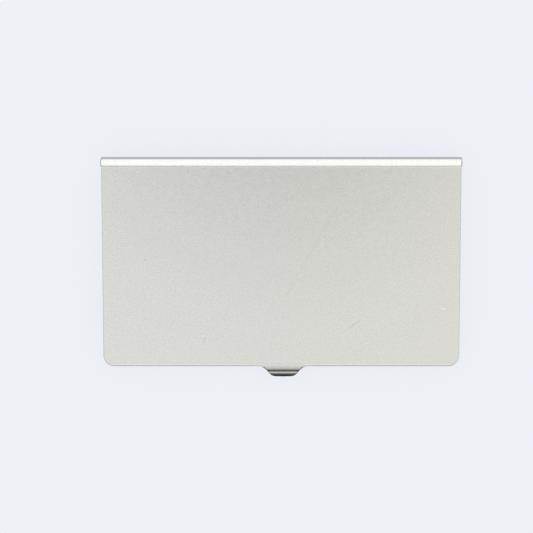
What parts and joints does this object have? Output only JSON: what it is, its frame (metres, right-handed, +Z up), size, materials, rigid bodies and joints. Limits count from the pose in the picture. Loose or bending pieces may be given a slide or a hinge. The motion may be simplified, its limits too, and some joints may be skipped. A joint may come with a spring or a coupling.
{
  "type": "business card case",
  "caption": "Slim hinged aluminium card case, held shut by detent dimples and opened by a thumb tab, with a leaf spring under the cards.",
  "frame": {"origin": "centre of the closed case's footprint, hinge curl and thumb tab included, on the surface it lies on", "axes": "+X along the hinge, +Y from the thumb tab towards the hinge, +Z up out of the lid's face"},
  "size_m": [0.095, 0.059, 0.007],
  "materials": {
    "satin_aluminium": "bead-blasted and clear anodised, fine even grain",
    "stainless_sheet": "brushed along the hinge",
    "spring_steel": "rolled spring strip, slightly darker than the tray",
    "polished_steel": "turned and polished",
    "bonding_film": "translucent double-sided adhesive film"
  },
  "bodies": {
    "base": {"base_shell": "satin_aluminium", "bonding_sheet": "bonding_film", "hinge_tray": "stainless_sheet", "card_spring_foot": "spring_steel", "spring_rivets": "polished_steel", "hinge_rod": "polished_steel", "hinge_cap_left": "polished_steel", "hinge_cap_right": "polished_steel"},
    "lid": {"lid_shell": "satin_aluminium"},
    "card_spring_left": {"card_spring_left_arm": "spring_steel"},
    "card_spring_right": {"card_spring_right_arm": "spring_steel"}
  },
  "joints": [
    {"name": "lid_hinge", "type": "hinge", "parent": "base", "child": "lid", "pos_m": [0, 0.02807, 0.00558], "axis": [-1, 0, 0], "range_deg": [0, 110]},
    {"name": "card_spring_left_flex", "type": "hinge", "parent": "base", "child": "card_spring_left", "pos_m": [-0.015, 0.01594, 0.00086], "axis": [1, 0, 0], "range_deg": [0, 1.5], "stiffness_Nm_per_rad": 0.18},
    {"name": "card_spring_right_flex", "type": "hinge", "parent": "base", "child": "card_spring_right", "pos_m": [0.015, 0.01594, 0.00086], "axis": [1, 0, 0], "range_deg": [0, 1.5], "stiffness_Nm_per_rad": 0.18}
  ]
}
